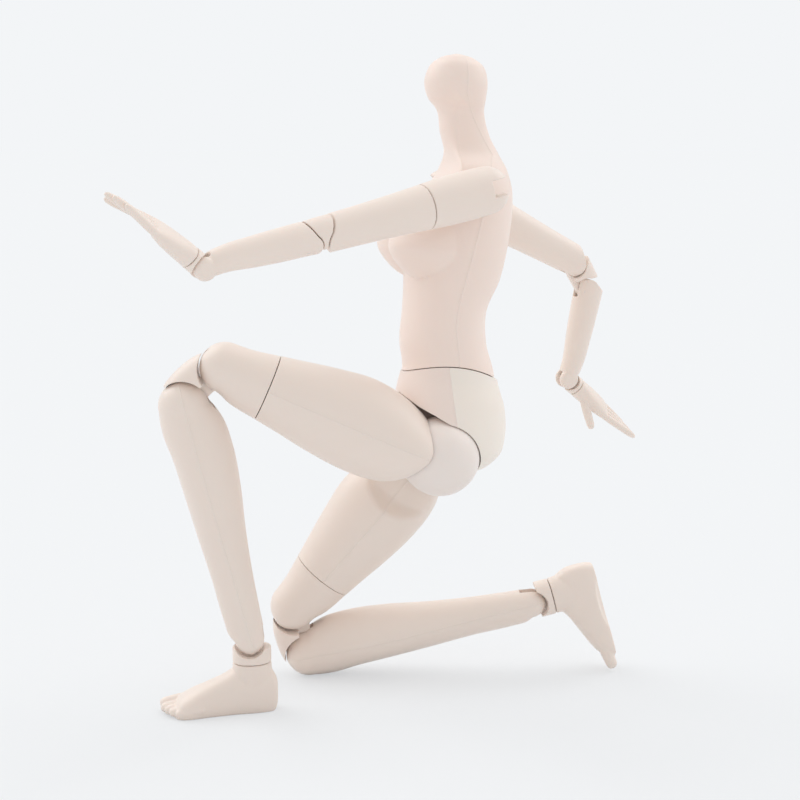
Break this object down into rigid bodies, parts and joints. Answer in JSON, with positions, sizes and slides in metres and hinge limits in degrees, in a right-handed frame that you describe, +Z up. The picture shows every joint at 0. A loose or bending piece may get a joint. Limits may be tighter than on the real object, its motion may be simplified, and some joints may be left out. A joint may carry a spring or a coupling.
{
  "type": "ball jointed doll",
  "caption": "Small jointed doll body with a plain knob head, posed sitting on one foot and one knee, with arms out, double-jointed elbows and knees, ball hips and swivel hands and feet.",
  "frame": {"origin": "on the sole of the left foot, straight below the ankle swivel", "axes": "+Z up from the ground the doll sits on, -X the way the left foot points, +Y towards the doll's right side"},
  "size_m": [0.1364, 0.1223, 0.1716],
  "materials": {
    "body_vinyl": "soft matte pinkish ivory vinyl",
    "pelvis_front_plastic": "matte pinkish plastic",
    "pelvis_back_plastic": "matte yellowish ivory plastic",
    "limb_plastic": "satin grey-beige plastic",
    "joint_plastic": "satin beige plastic",
    "pin_plastic": "smooth pale plastic pins"
  },
  "bodies": {
    "pelvis": {"pelvis_back": "pelvis_back_plastic", "pelvis_front": "pelvis_front_plastic"},
    "waist_joint": {"waist_joint": "joint_plastic", "waist_pin": "pin_plastic"},
    "torso": {"torso_back": "body_vinyl", "torso_front": "body_vinyl"},
    "left_shoulder_joint": {"left_shoulder_joint": "joint_plastic"},
    "left_shoulder_sleeve": {"left_shoulder_pin": "pin_plastic", "left_shoulder_sleeve": "limb_plastic"},
    "left_upper_arm": {"left_upper_arm": "limb_plastic"},
    "left_elbow_joint": {"left_elbow_joint": "limb_plastic", "left_elbow_lower_pin": "pin_plastic", "left_elbow_upper_pin": "pin_plastic"},
    "left_forearm": {"left_forearm": "limb_plastic"},
    "left_wrist_joint": {"left_wrist_joint": "limb_plastic", "left_wrist_pin": "pin_plastic"},
    "left_hand": {"left_hand": "limb_plastic"},
    "left_hip_joint": {"left_hip_joint": "joint_plastic", "left_hip_pin": "pin_plastic"},
    "left_thigh": {"left_thigh_back": "limb_plastic", "left_thigh_front": "limb_plastic"},
    "left_knee_sleeve": {"left_knee_sleeve": "limb_plastic"},
    "left_knee_joint": {"left_knee_joint": "limb_plastic", "left_knee_lower_pin": "pin_plastic", "left_knee_upper_pin": "pin_plastic"},
    "left_shin": {"left_shin_back": "limb_plastic", "left_shin_front": "limb_plastic"},
    "left_ankle_joint": {"left_ankle_joint": "limb_plastic", "left_ankle_pin": "pin_plastic"},
    "left_foot": {"left_foot": "limb_plastic"},
    "right_shoulder_joint": {"right_shoulder_joint": "joint_plastic"},
    "right_shoulder_sleeve": {"right_shoulder_pin": "pin_plastic", "right_shoulder_sleeve": "limb_plastic"},
    "right_upper_arm": {"right_upper_arm": "limb_plastic"},
    "right_elbow_joint": {"right_elbow_joint": "limb_plastic", "right_elbow_lower_pin": "pin_plastic", "right_elbow_upper_pin": "pin_plastic"},
    "right_forearm": {"right_forearm": "limb_plastic"},
    "right_wrist_joint": {"right_wrist_joint": "limb_plastic", "right_wrist_pin": "pin_plastic"},
    "right_hand": {"right_hand": "limb_plastic"},
    "right_hip_joint": {"right_hip_joint": "joint_plastic", "right_hip_pin": "pin_plastic"},
    "right_thigh": {"right_thigh_back": "limb_plastic", "right_thigh_front": "limb_plastic"},
    "right_knee_sleeve": {"right_knee_sleeve": "limb_plastic"},
    "right_knee_joint": {"right_knee_joint": "limb_plastic", "right_knee_lower_pin": "pin_plastic", "right_knee_upper_pin": "pin_plastic"},
    "right_shin": {"right_shin_back": "limb_plastic", "right_shin_front": "limb_plastic"},
    "right_ankle_joint": {"right_ankle_joint": "limb_plastic", "right_ankle_pin": "pin_plastic"},
    "right_foot": {"right_foot": "limb_plastic"}
  },
  "joints": [
    {"name": "waist_bend", "type": "hinge", "parent": "pelvis", "child": "waist_joint", "pos_m": [0.04982, 0.01667, 0.07129], "axis": [-0.067, 0.997, -0.0389], "range_deg": [-6, 3]},
    {"name": "torso_twist", "type": "hinge", "parent": "waist_joint", "child": "torso", "pos_m": [0.04982, 0.01667, 0.07129], "axis": [0.046, 0.042, 0.9981], "range_deg": [-8, 8]},
    {"name": "left_shoulder_swing", "type": "hinge", "parent": "torso", "child": "left_shoulder_joint", "pos_m": [0.06112, 0.00033, 0.13674], "axis": [-0.2185, 0.9753, -0.031], "range_deg": [-153.9, 101.1]},
    {"name": "left_shoulder_raise", "type": "hinge", "parent": "left_shoulder_joint", "child": "left_shoulder_sleeve", "pos_m": [0.06112, 0.00033, 0.13674], "axis": [-0.2261, -0.0197, 0.9739], "range_deg": [-13.1, 66.9]},
    {"name": "left_arm_twist", "type": "hinge", "parent": "left_shoulder_sleeve", "child": "left_upper_arm", "pos_m": [0.04561, -0.0088, 0.13295], "axis": [0.8433, 0.4964, 0.2058], "range_deg": [-90, 90]},
    {"name": "left_elbow_upper", "type": "hinge", "parent": "left_upper_arm", "child": "left_elbow_joint", "pos_m": [0.02434, -0.02095, 0.12599], "axis": [0.5306, -0.8299, -0.1725], "range_deg": [-2.6, 62.9]},
    {"name": "left_elbow_lower", "type": "hinge", "parent": "left_elbow_joint", "child": "left_forearm", "pos_m": [0.01648, -0.02561, 0.12422], "axis": [0.5306, -0.8299, -0.1725], "range_deg": [-0.9, 64.6]},
    {"name": "left_wrist_bend", "type": "hinge", "parent": "left_forearm", "child": "left_wrist_joint", "pos_m": [-0.00545, -0.03885, 0.12043], "axis": [0.5306, -0.8299, -0.1725], "range_deg": [-18.3, 108.7]},
    {"name": "left_hand_turn", "type": "hinge", "parent": "left_wrist_joint", "child": "left_hand", "pos_m": [-0.00799, -0.041, 0.12299], "axis": [0.6049, 0.5133, -0.6087], "range_deg": [-90, 90]},
    {"name": "left_hip_swing", "type": "hinge", "parent": "pelvis", "child": "left_hip_joint", "pos_m": [0.05006, 0.00392, 0.06783], "axis": [-0.067, 0.997, -0.0389], "range_deg": [-124.6, 3.4]},
    {"name": "left_hip_spread", "type": "hinge", "parent": "left_hip_joint", "child": "left_thigh", "pos_m": [0.05006, 0.00392, 0.06783], "axis": [0.3946, 0.0623, 0.9168], "range_deg": [-1.5, 23.5]},
    {"name": "left_thigh_twist", "type": "hinge", "parent": "left_thigh", "child": "left_knee_sleeve", "pos_m": [0.00587, 0.00046, 0.08709], "axis": [0.9144, 0.0717, -0.3984], "range_deg": [-20, 12]},
    {"name": "left_knee_upper", "type": "hinge", "parent": "left_knee_sleeve", "child": "left_knee_joint", "pos_m": [-0.00513, -0.0004, 0.09188], "axis": [-0.0782, 0.9969, 0], "range_deg": [-5.5, 66]},
    {"name": "left_knee_lower", "type": "hinge", "parent": "left_knee_joint", "child": "left_shin", "pos_m": [-0.01577, -0.00124, 0.0821], "axis": [-0.0782, 0.9969, 0], "range_deg": [-25.3, 61.7]},
    {"name": "left_ankle_bend", "type": "hinge", "parent": "left_shin", "child": "left_ankle_joint", "pos_m": [0, 0, 0.01967], "axis": [-0.0782, 0.9969, 0], "range_deg": [-34.2, 5.8]},
    {"name": "left_foot_turn", "type": "hinge", "parent": "left_ankle_joint", "child": "left_foot", "pos_m": [0, 0, 0.01352], "axis": [0, 0, 1], "range_deg": [-30, 30]},
    {"name": "right_shoulder_swing", "type": "hinge", "parent": "torso", "child": "right_shoulder_joint", "pos_m": [0.05218, 0.0402, 0.13547], "axis": [-0.2185, 0.9753, -0.031], "range_deg": [-13.6, 37.4]},
    {"name": "right_shoulder_raise", "type": "hinge", "parent": "right_shoulder_joint", "child": "right_shoulder_sleeve", "pos_m": [0.05218, 0.0402, 0.13547], "axis": [0.4324, 0.1252, 0.8929], "range_deg": [-4, 76]},
    {"name": "right_arm_twist", "type": "hinge", "parent": "right_shoulder_sleeve", "child": "right_upper_arm", "pos_m": [0.06756, 0.046, 0.12721], "axis": [-0.8359, -0.3155, 0.4491], "range_deg": [-90, 90]},
    {"name": "right_elbow_upper", "type": "hinge", "parent": "right_upper_arm", "child": "right_elbow_joint", "pos_m": [0.088, 0.0538, 0.1142], "axis": [-0.3338, 0.9418, 0.0403], "range_deg": [-35.2, 30.3]},
    {"name": "right_elbow_lower", "type": "hinge", "parent": "right_elbow_joint", "child": "right_forearm", "pos_m": [0.0925, 0.05573, 0.10628], "axis": [-0.3338, 0.9418, 0.0403], "range_deg": [-43.9, 21.6]},
    {"name": "right_wrist_bend", "type": "hinge", "parent": "right_forearm", "child": "right_wrist_joint", "pos_m": [0.08843, 0.05539, 0.08071], "axis": [-0.3338, 0.9418, 0.0403], "range_deg": [-6, 121]},
    {"name": "right_hand_turn", "type": "hinge", "parent": "right_wrist_joint", "child": "right_hand", "pos_m": [0.09144, 0.05657, 0.07802], "axis": [-0.7161, -0.2811, 0.6389], "range_deg": [-90, 90]},
    {"name": "right_hip_swing", "type": "hinge", "parent": "pelvis", "child": "right_hip_joint", "pos_m": [0.04837, 0.02903, 0.06685], "axis": [-0.067, 0.997, -0.0389], "range_deg": [-50.9, 77.1]},
    {"name": "right_hip_spread", "type": "hinge", "parent": "right_hip_joint", "child": "right_thigh", "pos_m": [0.04837, 0.02903, 0.06685], "axis": [0.7686, 0.0267, -0.6392], "range_deg": [-2.7, 22.3]},
    {"name": "right_thigh_twist", "type": "hinge", "parent": "right_thigh", "child": "right_knee_sleeve", "pos_m": [0.0175, 0.02781, 0.02969], "axis": [0.6387, 0.0251, 0.769], "range_deg": [-25, 25]},
    {"name": "right_knee_upper", "type": "hinge", "parent": "right_knee_sleeve", "child": "right_knee_joint", "pos_m": [0.00982, 0.02751, 0.02044], "axis": [-0.0876, 0.9953, 0.0402], "range_deg": [-14.7, 56.8]},
    {"name": "right_knee_lower", "type": "hinge", "parent": "right_knee_joint", "child": "right_shin", "pos_m": [0.01401, 0.02844, 0.00661], "axis": [-0.0876, 0.9953, 0.0402], "range_deg": [-2.8, 84.2]},
    {"name": "right_ankle_bend", "type": "hinge", "parent": "right_shin", "child": "right_ankle_joint", "pos_m": [0.07697, 0.03347, 0.01921], "axis": [-0.0876, 0.9953, 0.0402], "range_deg": [-16.6, 23.4]},
    {"name": "right_foot_turn", "type": "hinge", "parent": "right_ankle_joint", "child": "right_foot", "pos_m": [0.0829, 0.03393, 0.02077], "axis": [-0.9645, -0.0746, -0.2535], "range_deg": [-30, 30]}
  ]
}
